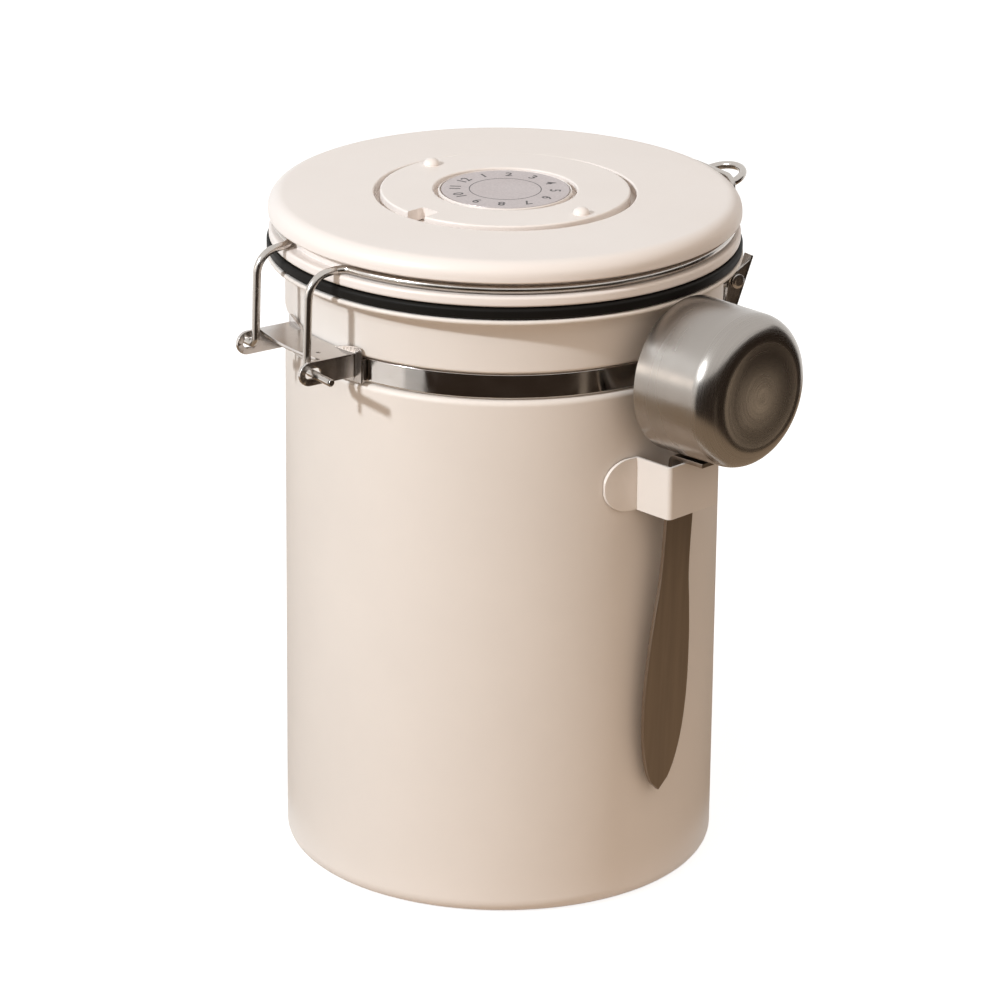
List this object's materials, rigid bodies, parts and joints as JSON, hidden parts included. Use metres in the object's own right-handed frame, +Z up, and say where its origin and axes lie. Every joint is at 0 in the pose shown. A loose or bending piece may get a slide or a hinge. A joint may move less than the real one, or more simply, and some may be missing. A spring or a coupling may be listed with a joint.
{
  "type": "coffee canister",
  "caption": "Round airtight food canister with a wire-hinged lid, lever latch, date dial, gas valve and a clipped-on measuring scoop.",
  "frame": {"origin": "centre of the flat base, on the surface the can stands on", "axes": "+Z up along the can's axis, +Y towards the lid's hinge, -Y towards the latch, X along the hinge"},
  "size_m": [0.1651, 0.1576, 0.1915],
  "materials": {
    "can_coat": "satin powder coat, cream",
    "lid_plastic": "satin moulded plastic, cream",
    "silicone": "black silicone",
    "clear_silicone": "milky silicone",
    "bright_steel": "polished stainless steel",
    "brushed_steel": "brushed stainless steel",
    "printed_metal": "satin metal disc with printed month numbers"
  },
  "bodies": {
    "can": {"can_body": "can_coat", "neck_band": "bright_steel", "hinge_bracket": "bright_steel", "latch_bracket": "bright_steel", "lever_rivet_left": "bright_steel", "lever_rivet_right": "bright_steel", "scoop_clip": "can_coat"},
    "lid": {"lid_cover": "lid_plastic", "lid_base": "lid_plastic", "lid_screw_1": "bright_steel", "lid_screw_2": "bright_steel", "lid_screw_3": "bright_steel", "lid_screw_4": "bright_steel", "gasket": "silicone", "lid_wire": "bright_steel", "valve_body": "lid_plastic", "valve_nut": "lid_plastic", "valve_disc": "clear_silicone", "valve_filter": "lid_plastic"},
    "dial": {"date_dial": "lid_plastic"},
    "knob": {"month_knob": "lid_plastic", "month_plate": "printed_metal"},
    "lever": {"latch_lever": "bright_steel"},
    "bail": {"latch_bail": "bright_steel"},
    "scoop": {"scoop_cup": "brushed_steel", "scoop_handle": "brushed_steel"}
  },
  "joints": [
    {"name": "lid_hinge", "type": "hinge", "parent": "can", "child": "lid", "pos_m": [0, 0.0725, 0.1546], "axis": [-1, 0, 0], "range_deg": [0, 200]},
    {"name": "dial_turn", "type": "hinge", "parent": "lid", "child": "dial", "pos_m": [0, 0, 0.1863], "axis": [0, 0, 1], "continuous": true},
    {"name": "knob_turn", "type": "hinge", "parent": "dial", "child": "knob", "pos_m": [0, 0, 0.1877], "axis": [0, 0, 1], "continuous": true},
    {"name": "lever_swing", "type": "hinge", "parent": "can", "child": "lever", "pos_m": [0, -0.069, 0.155], "axis": [-1, 0, 0], "range_deg": [0, 105]},
    {"name": "bail_swing", "type": "hinge", "parent": "lever", "child": "bail", "pos_m": [0, -0.0675, 0.1473], "axis": [-1, 0, 0], "range_deg": [-95, 0]},
    {"name": "scoop_lift", "type": "slide", "parent": "can", "child": "scoop", "axis": [-0.0514, -0.0109, 0.9986], "range_m": [0, 0.095]}
  ],
  "couplings": [
    {"joint": "bail_swing", "follows": "lever_swing", "ratio": -0.9}
  ]
}
